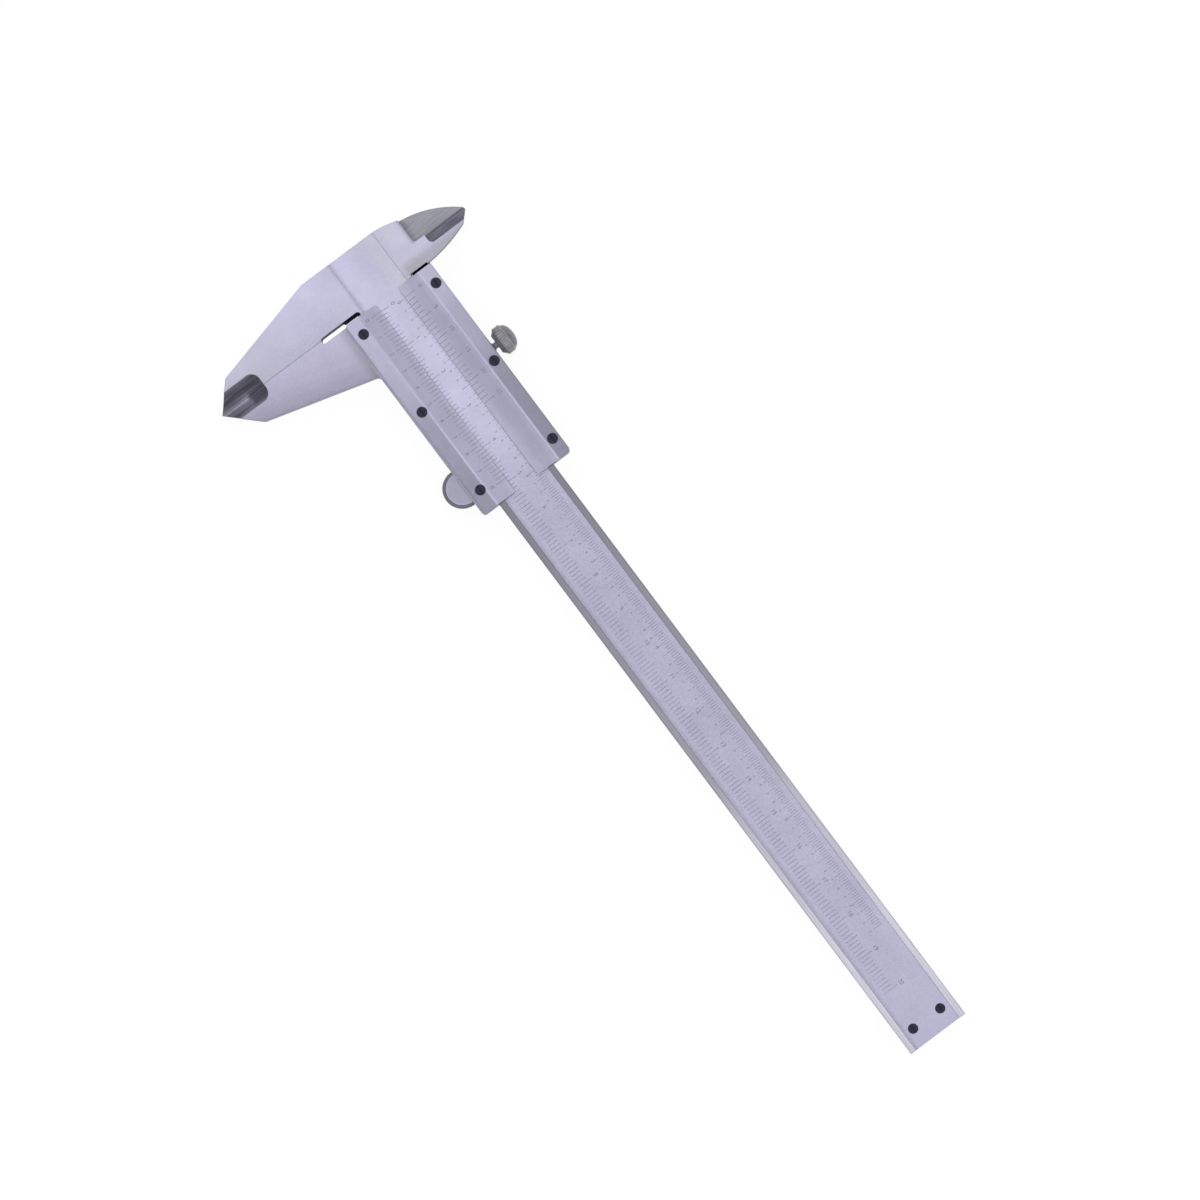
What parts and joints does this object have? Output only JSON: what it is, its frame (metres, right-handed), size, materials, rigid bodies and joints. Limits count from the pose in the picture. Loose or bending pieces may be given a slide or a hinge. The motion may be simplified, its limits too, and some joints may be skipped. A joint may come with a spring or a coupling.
{
  "type": "vernier caliper",
  "caption": "Sliding vernier caliper with inside and outside jaws, depth rod, two vernier plates, a lock screw over a gib spring, a thumb roller and an end stop.",
  "frame": {"origin": "where the closed outside jaws meet and the measured length is zero, on the beam's centre line, level with the slider's flat back", "axes": "+X along the beam from the jaws to the tail, +Y across the beam towards the inside jaws, +Z out of the graduated front"},
  "size_m": [0.2314, 0.0753, 0.0076],
  "materials": {
    "satin_steel": "satin-chromed hardened steel, fine-blasted faces and ground edges",
    "vernier_steel": "satin-chromed steel with filled black graduations",
    "black_oxide_steel": "black-oxide steel, slightly oily",
    "phosphor_bronze": "rolled phosphor bronze strip",
    "nickelled_brass": "turned and knurled, dull nickel plate",
    "roller_steel": "turned steel with a straight-knurled rim",
    "spring_steel": "tempered strip",
    "ground_steel": "ground bright"
  },
  "bodies": {
    "beam": {"main_beam": "satin_steel", "end_stop_block": "ground_steel", "end_stop_screw_lower": "black_oxide_steel", "end_stop_screw_upper": "black_oxide_steel"},
    "slider": {"slider_frame": "satin_steel", "inch_vernier_plate": "vernier_steel", "metric_vernier_plate": "vernier_steel", "inch_plate_screw_left": "black_oxide_steel", "inch_plate_screw_middle": "black_oxide_steel", "inch_plate_screw_right": "black_oxide_steel", "metric_plate_screw_left": "black_oxide_steel", "metric_plate_screw_middle": "black_oxide_steel", "metric_plate_screw_right": "black_oxide_steel", "gib_set_screw_left": "black_oxide_steel", "gib_set_screw_right": "black_oxide_steel", "roller_axle": "roller_steel", "roller_washer": "spring_steel", "depth_rod": "ground_steel", "depth_rod_rivets": "ground_steel"},
    "gib": {"gib_spring": "phosphor_bronze"},
    "lock": {"lock_screw": "nickelled_brass"},
    "roller": {"thumb_roller": "roller_steel"}
  },
  "joints": [
    {"name": "slider_slide", "type": "slide", "parent": "beam", "child": "slider", "axis": [1, 0, 0], "range_m": [0, 0.1525]},
    {"name": "gib_press", "type": "slide", "parent": "slider", "child": "gib", "axis": [0, 1, 0], "range_m": [-0.0001125, 0.0001125]},
    {"name": "lock_screw_turn", "type": "hinge", "parent": "gib", "child": "lock", "pos_m": [0.0253, 0, 0.0038], "axis": [0, 1, 0], "range_deg": [-90, 90]},
    {"name": "thumb_roller_turn", "type": "hinge", "parent": "slider", "child": "roller", "pos_m": [0.0477, -0.01278, 0.0038], "axis": [0, 0, 1], "continuous": true}
  ],
  "couplings": [
    {"joint": "lock_screw_turn", "follows": "gib_press", "rad_per_m": 13963},
    {"joint": "thumb_roller_turn", "follows": "slider_slide", "rad_per_m": 209.2}
  ]
}
